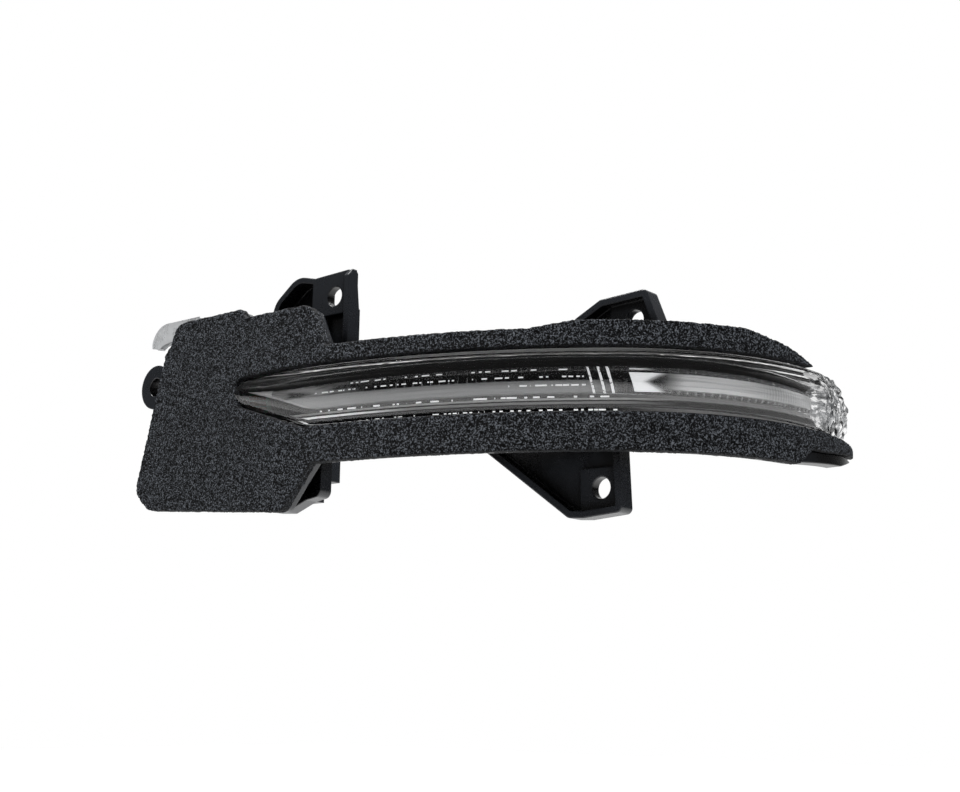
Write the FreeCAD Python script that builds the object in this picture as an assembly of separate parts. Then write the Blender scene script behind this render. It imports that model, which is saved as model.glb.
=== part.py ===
"""Turn signal lamp for the front of a door mirror: a black moulded housing that starts flat at its inboard
end and wraps round to the outboard side, a clear one-piece lens, an edge-lit light guide in a dark bezel,
a light-emitting board at the inboard end and a die-cut foam gasket around the window.

Frame in millimetres: +Z up, -Y the way the flat inboard end faces, +X outboard. The origin is the centre of
the inboard ear's screw hole, on the ear's front face. Every screw hole runs along Y.
"""
import FreeCAD, Part
import math
import os

Vector = FreeCAD.Vector
UP = Vector(0, 0, 1)
ORIGIN = Vector(0, 0, 0)

# Screw fixings
BORE_D = 5.5
EAR_D = 13.2
EAR_THICK = 6.0
TAB_FLOOR = 1.6
TAB_WALL = 1.8
TAB_PAD_HEIGHT = 1.2

# Plan of the flange: flat, then two bends in a row
PAD_AHEAD = 4.8
BEND_X = 56.2
FRONT_RADIUS = 153.0
FRONT_TURN = 36.0
WRAP_RADIUS = 67.0

# Window and lens
WINDOW_Z = -12.4
WINDOW_HEIGHT = 16.0
WINDOW_TIP = 12.0
WINDOW_BLADE = 26.5
CROWN = 3.8
CROWN_SIDE = 1.4
LENS_WALL = 2.0
SHOULDER = 2.2
SKIRT_DEPTH = 6.0
NOSE_SOLID = 10.0
NOSE_END = 176.0
NOSE_SLANT = -25.0
FIT = 0.25

# Housing
WALL = 2.0
LEDGE = 1.4
HOUSING_DEPTH = 26.0
CHANNEL_END = 150.0
LIP_END = 186.0
LIP_FORWARD = 2.2
BOX_LEFT = 20.0
BOX_OVERLAP = 6.8
BOX_TOP = 10.0
BOX_BOTTOM = -36.0
COVER_THICK = 2.0
HOOK_TIP = 3.7
HOOK_RISE = 1.4

# Foam gasket
FOAM_THICK = 3.0
FOAM_ABOVE = 5.0
FOAM_BELOW = 10.0
FOAM_STEP = 1.8
FOAM_STEP_START = 82.0
FOAM_STEP_END = 138.0
FOAM_END = 193.0
FOAM_LIFT = 4.1
FLANGE_INSET = 0.5
FLANGE_THICK = 2.0

# Light guide and bezel
GUIDE_RISE = 1.2
GUIDE_HEIGHT = 7.6
GUIDE_THICK = 6.0
GUIDE_SETBACK = 4.2
GUIDE_START = -10.8
GUIDE_TIP = 14.0
TOOTH_PITCH = 2.6
TOOTH_DEPTH = 0.7
BEZEL_FLOOR = 1.6
BEZEL_SETBACK = 2.6
BEZEL_DEPTH = 13.6

# Board and what stands on it
BOARD_THICK = 1.6
BOARD_MARGIN = 1.5
LED_SIZE = (3.0, 3.4, 1.9)
LED_PITCH = 2.4
LED_GAP = 0.6
SCREW_D = 2.5
SCREW_HEAD_D = 5.0
SCREW_HEAD = 1.6
POST_D = 6.0

# Plug socket on the back of the box
SOCKET_X = 34.0
SOCKET_Z = -22.0
SOCKET_WIDTH = 18.0
SOCKET_HEIGHT = 12.0
SOCKET_LENGTH = 14.0
SOCKET_WALL = 1.5
PIN_SIZE = 1.2
PIN_PITCH = 4.0
PIN_REACH = 8.0
PIN_COUNT = 3

# Heights and lengths that follow from the above
flange_y = -PAD_AHEAD
front_length = math.radians(FRONT_TURN) * FRONT_RADIUS
window_top = WINDOW_Z + WINDOW_HEIGHT / 2
window_bottom = WINDOW_Z - WINDOW_HEIGHT / 2
lens_top = window_top + SHOULDER
lens_bottom = window_bottom - SHOULDER
channel_top = lens_top + FIT + WALL
channel_bottom = lens_bottom - FIT - WALL
foam_top = window_top + FOAM_ABOVE
foam_bottom = window_bottom - FOAM_BELOW
guide_z = WINDOW_Z + GUIDE_RISE
guide_top = guide_z + GUIDE_HEIGHT / 2
guide_bottom = guide_z - GUIDE_HEIGHT / 2
guide_back = GUIDE_SETBACK + GUIDE_THICK
groove_floor = guide_back + FIT
bezel_back = BEZEL_DEPTH
cavity_end = NOSE_END - NOSE_SOLID
box_right = BEND_X - WINDOW_TIP + BOX_OVERLAP
first_centre = Vector(BEND_X, flange_y + FRONT_RADIUS, 0)
front_heading = Vector(math.sin(math.radians(FRONT_TURN)), -math.cos(math.radians(FRONT_TURN)), 0)
second_centre = first_centre + front_heading * (FRONT_RADIUS - WRAP_RADIUS)


def drawn(place, start, *moves):
    """Closed face from a start point and moves: two numbers draw a line, four an arc through a point."""
    edges = []
    here = start
    for move in list(moves) + [start]:
        there = move[-2:]
        if len(move) == 4:
            edges.append(Part.Arc(place(*here), place(*move[:2]), place(*there)).toShape())
        elif math.dist(here, there) > 1e-6:
            edges.append(Part.LineSegment(place(*here), place(*there)).toShape())
        here = there
    return Part.Face(Part.Wire(edges))


def rounded(corners):
    """Start and moves of a polygon whose corners are (a, b, radius)."""
    moves = []
    for i, (a, b, radius) in enumerate(corners):
        here = Vector(a, b, 0)
        back = Vector(*corners[i - 1][:2], 0) - here
        ahead = Vector(*corners[(i + 1) % len(corners)][:2], 0) - here
        back.normalize()
        ahead.normalize()
        if radius == 0:
            moves.append((a, b))
            continue
        half = back.getAngle(ahead) / 2
        reach = radius / math.tan(half)
        first = here + back * reach
        last = here + ahead * reach
        middle = (back + ahead).normalize()
        via = here + middle * (radius / math.sin(half) - radius)
        moves.append((first.x, first.y))
        moves.append((via.x, via.y, last.x, last.y))
    return moves


def front_plate(moves, front, back):
    """Prism of an outline drawn in X and Z, from Y = front to Y = back."""
    face = drawn(lambda x, z: Vector(x, front, z), *moves)
    return face.extrude(Vector(0, back - front, 0))


def block(x, y, z):
    """Box from three (low, high) pairs."""
    size = [high - low for low, high in (x, y, z)]
    return Part.makeBox(*size, Vector(x[0], y[0], z[0]))


def section(*moves):
    """Face across the start of the bend; moves are (forward of the flange, Z)."""
    return drawn(lambda out, z: Vector(BEND_X, flange_y - out, z), *moves)


def bar_section(out, z):
    """Rectangular section from two (low, high) pairs."""
    return section((out[0], z[0]), (out[1], z[0]), (out[1], z[1]), (out[0], z[1]))


def turned(shape, distance):
    """Copy of a shape at the start of the bend, carried to a distance along the flange."""
    moved = shape.copy()
    if distance <= 0:
        moved.translate(Vector(distance, 0, 0))
        return moved
    first = min(distance, front_length)
    moved.rotate(first_centre, UP, math.degrees(first / FRONT_RADIUS))
    if distance > front_length:
        moved.rotate(second_centre, UP, math.degrees((distance - front_length) / WRAP_RADIUS))
    return moved


def along(face, start, end):
    """Sweeps a section along the lamp between two distances from the start of the bend."""
    pieces = []
    if start < 0:
        pieces.append(turned(face, start).extrude(Vector(min(end, 0) - start, 0, 0)))
    low, high = max(start, 0), min(end, front_length)
    if high > low:
        angle = math.degrees((high - low) / FRONT_RADIUS)
        pieces.append(turned(face, low).revolve(first_centre, UP, angle))
    low = max(start, front_length)
    if end > low:
        angle = math.degrees((end - low) / WRAP_RADIUS)
        pieces.append(turned(face, low).revolve(second_centre, UP, angle))
    whole = pieces[0]
    if len(pieces) > 1:
        whole = whole.fuse(pieces[1:]).removeSplitter()
    return whole


def side_prism(moves, distance, inner, outer):
    """Prism through the flange at a distance along it; the outline is (past that point, Z)."""
    face = drawn(lambda past, z: Vector(BEND_X + past, flange_y - outer, z), *moves)
    return turned(face.extrude(Vector(0, outer - inner, 0)), distance)


def hole(x, z, front, back, diameter):
    """Round cutter along Y."""
    return Part.makeCylinder(diameter / 2, back - front, Vector(x, front, z), Vector(0, 1, 0))


def dish(corners, front, back, wall, floor):
    """Shallow moulded lug: a floor at the back with a wall round it, open to the front."""
    moves = rounded(corners)
    outer = front_plate(moves, front, back)
    inner = drawn(lambda x, z: Vector(x, front, z), *moves).makeOffset2D(-wall)
    return outer.cut(inner.extrude(Vector(0, back - floor - front, 0)))


# Foam pad outline, drawn in X and Z: its top leans inboard to outboard and its left edge slants
PAD_TOP = 15.2
PAD_BOTTOM = -42.6
PAD_TOP_LEFT = 18.0
PAD_NOTCH_Z = 7.4
PAD_NOTCH = 2.6
PAD_BOTTOM_LEFT = 3.0
PAD_STEP_X = 46.0
PAD_STEP = 2.8
PAD_TOP_RIGHT = 72.0
PAD_BOTTOM_RIGHT = 64.0
PAD_STRIP_X = 73.5
PAD_CORNER = 5.0


def pad_corners(inset):
    """Corners of the pad, moved in by the same distance all round."""
    low = PAD_BOTTOM + inset
    high = PAD_TOP - inset
    bend = PAD_CORNER - inset
    notch_x = PAD_TOP_LEFT - PAD_NOTCH + inset
    return [
        (PAD_TOP_LEFT + inset, high, bend),
        (PAD_STEP_X - 1.0 - inset, high, 1.5),
        (PAD_STEP_X + 1.0 - inset, high - PAD_STEP, 1.5),
        (PAD_TOP_RIGHT - inset, high - PAD_STEP, bend),
        (PAD_STRIP_X + 3.5 - inset, foam_top - inset, 0),
        (PAD_STRIP_X + 12, foam_top - inset, 0),
        (PAD_STRIP_X + 12, foam_bottom + inset, 0),
        (PAD_STRIP_X - inset, foam_bottom + inset, 0),
        (PAD_BOTTOM_RIGHT - inset, low, 3.0),
        (PAD_BOTTOM_LEFT + 6.5 + inset, low + 4.2, bend),
        (PAD_BOTTOM_LEFT + inset, low + 9.6, bend),
        (notch_x - 2.0, PAD_NOTCH_Z - 1.0 - inset, 0.8),
        (notch_x, PAD_NOTCH_Z + 1.0 - inset, 0.8),
    ]


def tip_moves(inset, reach):
    """Window's inboard end: rounded at the top, then a blade edge sloping down to the bottom edge."""
    tip = BEND_X - WINDOW_TIP + inset
    top = window_top - inset
    bottom = window_bottom + inset
    return rounded([
        (tip, top - 0.6, 2.4),
        (tip + 1.2, WINDOW_Z + WINDOW_HEIGHT * 0.02 + inset, 2.0),
        (tip + WINDOW_BLADE, bottom, 12.0),
        (reach, bottom - 6.0, 0),
        (reach, top + 6.0, 0),
        (tip + WINDOW_BLADE - 2.0, top + 0.2, 12.0),
    ])


def windowed(face, start, end, inset):
    """Sweep of a section, with its inboard end trimmed to the window's blade outline."""
    reach = BEND_X + 60.0
    swept = along(face, start, end)
    keep = front_plate(tip_moves(inset, reach), flange_y - 30.0, flange_y + 40.0)
    inboard = swept.common(keep)
    outboard = along(face, 55.0, end)
    return inboard.fuse(outboard).removeSplitter()


def foam_gasket():
    pad = along(bar_section((0, FOAM_THICK), (PAD_BOTTOM - 5, PAD_TOP + 5)), -BEND_X, 40.0)
    outline = front_plate(rounded(pad_corners(0)), flange_y - 20, flange_y + 20)
    foam = pad.common(outline)
    strip_start = PAD_STRIP_X + 4 - BEND_X
    foam = foam.fuse(along(bar_section((0, FOAM_THICK), (foam_bottom, foam_top)), strip_start, FOAM_END))
    step = along(
        bar_section((0, FOAM_THICK), (foam_top - 0.5, foam_top + FOAM_STEP)), FOAM_STEP_START - 6, FOAM_END
    )
    foam = foam.fuse(step).removeSplitter()
    gap = bar_section((-1, FOAM_THICK + 1), (window_bottom - FIT, window_top + FIT))
    foam = foam.cut(windowed(gap, -BEND_X, FOAM_END + 5, -FIT))
    foam = foam.cut(gasket_ends())
    return foam


def taper_above(inset, depth):
    """Cutter that tapers the strip above the window out towards the lens's clear nose."""
    return side_prism(
        [
            (-22.0 - inset, foam_top + FOAM_STEP),
            (-7.0 - inset, foam_top - 1.2),
            (7.0 - inset, window_top - 1.0),
            (60.0, window_top - 1.0),
            (60.0, foam_top + 20),
            (-22.0 - inset, foam_top + 20),
        ],
        FOAM_STEP_END + 14.0,
        -depth,
        10,
    )


def gasket_ends():
    """What the die leaves off: the strip above the window ramps up and tapers out, the lower one tapers up."""
    above = taper_above(0, 45)
    ramp = side_prism(
        [
            (-9.0, foam_top),
            (-6.0, foam_top),
            (6.0, foam_top + FOAM_STEP + 0.1),
            (6.0, foam_top + 20),
            (-9.0, foam_top + 20),
        ],
        FOAM_STEP_START,
        -10,
        10,
    )
    return [above, ramp, below_foam(0)]


def below_foam(drop):
    """Cutter under the lower strip's end: it lifts off the housing's lip, then follows the lip upwards."""
    lifted = foam_bottom + FOAM_LIFT - drop
    return side_prism(
        [(-6.0, foam_bottom - drop), (-0.5, lifted), (8.0, lifted + 0.5), (40.0, lifted + 4.0),
         (60.0, lifted + 4.0), (60.0, foam_bottom - 20), (-6.0, foam_bottom - 20)],
        FOAM_END - 40.0,
        -45,
        10,
    )


def outer_lens():
    """Clear moulding: crowned window, shoulders and skirts, the cover over the board box, and a hook."""
    crown = section(
        (-FLANGE_THICK, window_bottom),
        (CROWN_SIDE, window_bottom + 0.2),
        (CROWN, WINDOW_Z, CROWN_SIDE, window_top - 0.2),
        (-FLANGE_THICK, window_top),
    )
    lens = windowed(crown, -BEND_X, NOSE_END + 6, 0)
    base_start = -WINDOW_TIP - SHOULDER
    frame = along(bar_section((-SKIRT_DEPTH, 0), (lens_bottom, lens_top)), base_start, NOSE_END + 6)
    lens = lens.fuse(frame)
    hollow = section(
        (-SKIRT_DEPTH - 1, window_bottom),
        (-LENS_WALL, window_bottom),
        (CROWN_SIDE - LENS_WALL, window_bottom + LENS_WALL + 0.2),
        (CROWN - LENS_WALL, WINDOW_Z, CROWN_SIDE - LENS_WALL, window_top - LENS_WALL - 0.2),
        (-LENS_WALL, window_top),
        (-SKIRT_DEPTH - 1, window_top),
    )
    lens = lens.cut(windowed(hollow, -BEND_X, cavity_end, LENS_WALL))
    throat = bar_section((-SKIRT_DEPTH - 1, -LENS_WALL), (window_bottom, window_top))
    lens = lens.cut(along(throat, base_start - 1, cavity_end))
    cover = block(
        (BOX_LEFT + WALL + FIT, box_right - WALL - FIT),
        (flange_y, flange_y + COVER_THICK),
        (BOX_BOTTOM + WALL + FIT, BOX_TOP - WALL - FIT),
    )
    window_hole = along(bar_section((-9, 9), (window_bottom, window_top)), -WINDOW_TIP, 40.0)
    opening = front_plate(tip_moves(LENS_WALL, BEND_X + 60), flange_y - 20, flange_y + 20).common(window_hole)
    lens = lens.fuse(cover.cut(opening)).fuse(lens_hook(0))
    beyond = side_prism(
        [(0, lens_top + 9), (60, lens_top + 9), (60, lens_bottom - 9), (0, lens_bottom - 9)],
        0,
        -40,
        40,
    )
    beyond.rotate(Vector(BEND_X, flange_y, WINDOW_Z), Vector(0, 1, 0), NOSE_SLANT)
    return lens.cut(turned(beyond, NOSE_END)).removeSplitter()


def lens_hook(clearance):
    """Tongue at the cover's upper inboard corner, curling inboard and down past the pad's corner."""
    root_x = BOX_LEFT + WALL + FIT + 2.0
    top = PAD_TOP + HOOK_RISE + clearance
    low = BOX_TOP - WALL - FIT - 3.0 - clearance
    tip_x = HOOK_TIP - clearance
    return front_plate(
        [
            (root_x, low),
            (root_x, top),
            (10.0, top),
            (tip_x + 2.2, top - 2.2, tip_x, top - 6.0 - clearance),
            (tip_x + 3.0 + clearance, top - 7.0 - clearance),
            (tip_x + 6.0, top - 5.4 - 2 * clearance, tip_x + 10.0, top - 5.0 - 2 * clearance),
            (root_x - 4.0, low),
        ],
        flange_y,
        flange_y + COVER_THICK + clearance,
    )


def channel_solid():
    outer = bar_section((-HOUSING_DEPTH, 0), (channel_bottom, channel_top))
    return along(outer, box_right - WALL - BEND_X, CHANNEL_END)


def channel_hollow():
    """Stepped trough: the lens skirts stand on the first ledge and the bezel's feet on the second."""
    top, bottom = lens_top + FIT, lens_bottom - FIT
    steps = [(SKIRT_DEPTH, 0), (bezel_back + FIT, LEDGE), (HOUSING_DEPTH - WALL, 2 * LEDGE)]
    lower = [(1, bottom)]
    upper = [(1, top)]
    reached = -1
    for depth, inset in steps:
        lower += [(-reached, bottom + inset), (-depth, bottom + inset)]
        upper += [(-reached, top - inset), (-depth, top - inset)]
        reached = depth
    moves = lower + upper[::-1]
    trough = along(section(*moves), -WINDOW_TIP - 2.0, CHANNEL_END - WALL)
    end_wall = (CHANNEL_END - WALL - 1, CHANNEL_END + 1)
    seat = along(bar_section((-SKIRT_DEPTH, 1), (bottom, top)), *end_wall)
    notch = along(bar_section((-bezel_back - FIT, 0), (bottom + LEDGE, top - LEDGE)), *end_wall)
    return trough.fuse([seat, notch])


def rear_housing():
    box = block((BOX_LEFT, box_right), (flange_y, flange_y + HOUSING_DEPTH), (BOX_BOTTOM, BOX_TOP))
    pad = along(bar_section((-FLANGE_THICK, 0), (PAD_BOTTOM - 5, PAD_TOP + 5)), -BEND_X, 40.0)
    pad = pad.common(front_plate(rounded(pad_corners(FLANGE_INSET)), flange_y - 20, flange_y + 20))
    strip_start = PAD_STRIP_X + 4 - BEND_X
    low_edge = foam_bottom + FLANGE_INSET
    strip = along(bar_section((-FLANGE_THICK, 0), (low_edge, channel_top)), strip_start, CHANNEL_END)
    raised = along(
        bar_section((-FLANGE_THICK, 0), (channel_top - 1, foam_top + FOAM_STEP - FLANGE_INSET)),
        FOAM_STEP_START + 2,
        CHANNEL_END,
    )
    lip = along(bar_section((-FLANGE_THICK, 0), (low_edge, lens_bottom - FIT)), CHANNEL_END - 2, LIP_END)
    lip_rib = along(bar_section((-8, 0), (channel_bottom, lens_bottom - FIT)), CHANNEL_END - 2, LIP_END)
    toe = along(bar_section((0, LIP_FORWARD), (foam_bottom, lens_bottom - SHOULDER)), CHANNEL_END - 3, LIP_END)
    toe = toe.common(below_foam(FIT))
    body = channel_solid().fuse([box, pad, strip, raised, lip, lip_rib, toe])
    body = body.fuse([ear(), upper_outboard_tab(), lower_outboard_tab(), upper_inboard_bracket(),
                      lower_inboard_lug(), plug_socket()])
    mouth = block((BOX_LEFT + WALL, box_right - WALL), (flange_y - 1, flange_y + COVER_THICK),
                  (BOX_BOTTOM + WALL, BOX_TOP - WALL))
    inside = block((BOX_LEFT + WALL + LEDGE, box_right - WALL - LEDGE),
                   (flange_y, flange_y + HOUSING_DEPTH - WALL),
                   (BOX_BOTTOM + WALL + LEDGE, BOX_TOP - WALL - LEDGE))
    body = body.cut([mouth, inside, channel_hollow(), lens_hook(FIT), lip_taper(), taper_above(1.0, 3)])
    body = body.fuse(board_posts())
    return body.cut(bores() + pin_slots()).removeSplitter()


def lip_taper():
    """Cutter that lifts the lip's lower edge towards its end."""
    low = foam_bottom + FLANGE_INSET
    return side_prism(
        [(-6.0, low), (18.0, low + 2.1), (36.0, low + 6.5), (60.0, low + 6.5), (60.0, foam_bottom - 20),
         (-6.0, foam_bottom - 20)],
        FOAM_END - 40.0,
        -45,
        10,
    )


# Screw tabs: the holes' places in X and Z, and the front faces that the screw heads meet in Y
UPPER_TAB = (145.8, 5.4)
LOWER_TAB = (139.5, -37.9)
BRACKET = (67.8, 18.0)
UPPER_TAB_FACE = 36.0
LOWER_TAB_FACE = 30.0
TAB_RIM = 2.0
BRACKET_FACE = 6.0
LUG_FACE = 2.0


def ear():
    disc = hole(0, 0, 0, EAR_THICK, EAR_D)
    arm = block((0, BOX_LEFT + 1), (0, EAR_THICK), (-EAR_D / 2 + 1, EAR_D / 2 - 1))
    return disc.fuse(arm)


def screw_tab(corners, centre, face, pad_left, pad_right, pad_low, pad_high):
    """Dished tab with a raised square around its screw hole."""
    x, z = centre
    back = face + TAB_PAD_HEIGHT + TAB_FLOOR
    tab = dish([(x + a, z + b, r) for a, b, r in corners], face - TAB_RIM, back, TAB_WALL, TAB_FLOOR)
    pad = block((x - pad_left, x + pad_right), (face, back), (z - pad_low, z + pad_high))
    return tab.fuse(pad)


def upper_outboard_tab():
    down = channel_top - 3.0 - UPPER_TAB[1]
    corners = [(-20.5, down, 0), (-17.2, 2.5, 1.0), (-9.2, 6.4, 1.0), (4.8, 7.1, 1.5), (10.9, down, 0)]
    return screw_tab(corners, UPPER_TAB, UPPER_TAB_FACE, 7.4, 5.0, -down, 5.6)


def lower_outboard_tab():
    up = channel_bottom + 3.0 - LOWER_TAB[1]
    corners = [(-40.9, up, 0), (-8.7, -7.2, 2.5), (-4.2, -7.5, 1.0), (7.4, -6.7, 1.5), (6.2, up, 0)]
    return screw_tab(corners, LOWER_TAB, LOWER_TAB_FACE, 6.4, 5.8, 5.6, 5.2)


def upper_inboard_bracket():
    """Screw plate above the strip, stiffened by a tall side wall, a column and a round dished hood."""
    x, z = BRACKET
    foot = channel_top - 2.0
    plate = front_plate(
        rounded([(x - 7.4, z - 5.2, 0), (x + 6.3, z - 5.2, 0), (x + 6.3, z + 6.8, 1.2), (x - 7.4, z + 6.4, 0)]),
        BRACKET_FACE,
        BRACKET_FACE + 2.5,
    )
    side = drawn(
        lambda y, height: Vector(x + 4.5, y, height),
        (BRACKET_FACE - 1.0, foot),
        (BRACKET_FACE - 1.0, z + 5.0),
        (BRACKET_FACE + 0.4, z + 6.8),
        (BRACKET_FACE + 2.0, z + 6.8),
        (BRACKET_FACE + 3.6, z - 7.0),
        (BRACKET_FACE + 2.5, z - 8.0),
        (BRACKET_FACE + 2.5, foot),
    ).extrude(Vector(1.8, 0, 0))
    back_web = block((x - 7.4, x + 6.3), (BRACKET_FACE + 2.0, BRACKET_FACE + 3.6), (foot, z - 4.0))
    column = block((x - 7.4, x - 4.4), (BRACKET_FACE, BRACKET_FACE + 3.0), (foot, z - 5.0))
    hood_floor = BOX_TOP - 3.0
    hood = dish(
        [(x - 26.0, hood_floor, 0), (x - 24.0, z + 1.6, 6.0), (x - 15.0, z + 8.2, 7.0), (x - 7.0, z + 6.2, 0),
         (x - 7.0, hood_floor, 0)],
        BRACKET_FACE,
        BRACKET_FACE + 7.0,
        1.6,
        2.0,
    )
    return plate.fuse([side, back_web, column, hood])


def lower_inboard_lug():
    """Dished lug under the strip, tucked behind the pad's lower outboard corner."""
    top = channel_bottom + 2.0
    return dish(
        [(box_right - 2.0, BOX_BOTTOM - 4.6, 2.0), (box_right + 5.3, BOX_BOTTOM - 5.1, 2.0),
         (box_right + 12.6, BOX_BOTTOM - 2.4, 2.0), (box_right + 18.0, BOX_BOTTOM - 1.6, 2.0),
         (box_right + 18.0, top, 0), (box_right - 2.0, top, 0)],
        LUG_FACE,
        LUG_FACE + 4.0,
        TAB_WALL,
        TAB_FLOOR,
    )


def bores():
    tab_thick = TAB_PAD_HEIGHT + TAB_FLOOR + 1
    return [
        hole(0, 0, -1, EAR_THICK + 1, BORE_D),
        hole(*UPPER_TAB, UPPER_TAB_FACE - 1, UPPER_TAB_FACE + tab_thick, BORE_D),
        hole(*LOWER_TAB, LOWER_TAB_FACE - 1, LOWER_TAB_FACE + tab_thick, BORE_D),
        hole(*BRACKET, BRACKET_FACE - 1, BRACKET_FACE + 3.5, BORE_D),
    ]


# Board box: the board lies on two posts, with its lights at the light guide's end
board_front = flange_y + GUIDE_SETBACK + GUIDE_THICK / 2 + LED_SIZE[1] / 2
board_back = board_front + BOARD_THICK
board_right = BEND_X + GUIDE_START - LED_GAP
board_left = BOX_LEFT + WALL + LEDGE + BOARD_MARGIN
board_low = BOX_BOTTOM + WALL + LEDGE + BOARD_MARGIN
board_high = BOX_TOP - WALL - LEDGE - BOARD_MARGIN
screw_places = [(board_left + 5.0, board_low + 5.0), (board_left + 5.0, board_high - 5.0)]


def board_posts():
    floor = flange_y + HOUSING_DEPTH - WALL
    posts = []
    for x, z in screw_places:
        post = hole(x, z, board_back, floor + 0.5, POST_D)
        posts.append(post.cut(hole(x, z, board_back - 1, floor - 1, SCREW_D)))
    return posts


def led_board():
    board = front_plate(
        rounded([(board_left, board_low, 1.0), (board_right, board_low, 1.0), (board_right, board_high, 1.0),
                 (board_left, board_high, 1.0)]),
        board_front,
        board_back,
    )
    cuts = [hole(x, z, board_front - 1, board_back + 1, SCREW_D + 0.4) for x, z in screw_places]
    return board.cut(cuts + pin_shapes(2 * FIT))


def board_screws():
    screws = []
    for x, z in screw_places:
        shank = hole(x, z, board_front, flange_y + HOUSING_DEPTH - WALL - 2, SCREW_D)
        head = hole(x, z, board_front - SCREW_HEAD, board_front, SCREW_HEAD_D)
        screws.append(shank.fuse(head))
    return Part.makeCompound(screws)


def pin_places():
    first = SOCKET_X - PIN_PITCH * (PIN_COUNT - 1) / 2
    return [(first + PIN_PITCH * i, SOCKET_Z) for i in range(PIN_COUNT)]


def pin_shapes(grow):
    """Square pins from the board's face, through the box's back wall, into the plug socket."""
    half = (PIN_SIZE + grow) / 2
    start = board_front - 1.5 - grow
    end = flange_y + HOUSING_DEPTH + PIN_REACH
    return [block((x - half, x + half), (start, end), (z - half, z + half)) for x, z in pin_places()]


def pin_slots():
    return pin_shapes(0)


def plug_socket():
    """Rectangular shroud on the back of the box, open to the rear, with a key rib inside its roof."""
    rear = flange_y + HOUSING_DEPTH
    half_w, half_h = SOCKET_WIDTH / 2, SOCKET_HEIGHT / 2
    shroud = block((SOCKET_X - half_w, SOCKET_X + half_w), (rear - 1, rear + SOCKET_LENGTH),
                   (SOCKET_Z - half_h, SOCKET_Z + half_h))
    mouth = block((SOCKET_X - half_w + SOCKET_WALL, SOCKET_X + half_w - SOCKET_WALL),
                  (rear, rear + SOCKET_LENGTH + 1),
                  (SOCKET_Z - half_h + SOCKET_WALL, SOCKET_Z + half_h - SOCKET_WALL))
    catch = block((SOCKET_X - 3, SOCKET_X + 3), (rear + 6, rear + 8),
                  (SOCKET_Z + half_h - 0.5, SOCKET_Z + half_h + 1.2))
    return shroud.cut(mouth).fuse(catch)


def terminal_pins():
    return Part.makeCompound(pin_shapes(0))


def lights():
    """Side-emitting lamps in a row, facing along the guide."""
    depth, height, width = LED_SIZE
    count = 3
    low = guide_z - LED_PITCH * (count - 1) / 2
    packages = []
    for i in range(count):
        z = low + LED_PITCH * i
        packages.append(block((board_right - depth, board_right), (board_front - height, board_front),
                              (z - width / 2, z + width / 2)))
    return Part.makeCompound(packages)


def chip(x, z, long, wide, tall):
    return block((x - long / 2, x + long / 2), (board_front - tall, board_front), (z - wide / 2, z + wide / 2))


def driver_chip():
    x = (board_left + board_right) / 2
    z = board_high - 7.5
    body = chip(x, z, 5.0, 4.0, 1.6)
    legs = [chip(x - 1.9 + 1.27 * i, z + side * 2.5, 0.5, 1.0, 0.5) for i in range(4) for side in (-1, 1)]
    return body.fuse(legs)


def resistors():
    x = board_right - 8.5
    return Part.makeCompound([chip(x, guide_z - 4.5 + 3.0 * i, 3.2, 1.6, 0.6) for i in range(4)])


def capacitors():
    x = (board_left + board_right) / 2
    return Part.makeCompound([chip(x + 2 + 4 * i, board_low + 4.0, 2.0, 1.25, 1.1) for i in range(2)])


def protection_diode():
    return chip(board_left + 6.5, guide_z + 1.0, 4.4, 3.6, 2.2)


def bezel():
    """Dark trim round the guide: sloped shoulders up to the lens, a groove for the guide, feet on the ledge."""
    low = window_bottom + FIT
    high = window_top - FIT
    slope = GUIDE_SETBACK + 1.0
    groove_low = guide_bottom - FIT
    groove_high = guide_top + FIT
    rear = groove_floor + BEZEL_FLOOR
    trim = section(
        (-bezel_back, low - SHOULDER + LEDGE),
        (-SKIRT_DEPTH - FIT, low - SHOULDER + LEDGE),
        (-SKIRT_DEPTH - FIT, low),
        (-BEZEL_SETBACK, low),
        (-slope, groove_low),
        (-groove_floor, groove_low),
        (-groove_floor, groove_high),
        (-slope, groove_high),
        (-BEZEL_SETBACK, high),
        (-SKIRT_DEPTH - FIT, high),
        (-SKIRT_DEPTH - FIT, high + SHOULDER - LEDGE),
        (-bezel_back, high + SHOULDER - LEDGE),
        (-bezel_back, groove_high + 1.0),
        (-rear, groove_high + 1.0),
        (-rear, groove_low - BEZEL_FLOOR),
        (-slope - BEZEL_FLOOR, groove_low - BEZEL_FLOOR),
        (-slope - BEZEL_FLOOR, low + 0.6),
        (-bezel_back, low + 0.6),
    )
    return along(trim, GUIDE_START + 1.0, cavity_end - FIT)


def light_guide():
    """Clear bar with a crowned front, a blade-shaped inboard end and saw teeth across its back."""
    bulge = 0.8
    bar = section(
        (-guide_back, guide_bottom),
        (-GUIDE_SETBACK - bulge, guide_bottom),
        (-GUIDE_SETBACK, guide_z, -GUIDE_SETBACK - bulge, guide_top),
        (-guide_back, guide_top),
    )
    end = cavity_end - 2 * FIT
    guide = along(bar, GUIDE_START, end)
    blade = side_prism(
        [(GUIDE_START - 1, guide_top - 1.0), (GUIDE_TIP, guide_bottom - 1), (GUIDE_START - 1, guide_bottom - 1)],
        0,
        -GUIDE_SETBACK - GUIDE_THICK / 2,
        0,
    )
    return guide.cut([blade] + saw_teeth(end))


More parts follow.
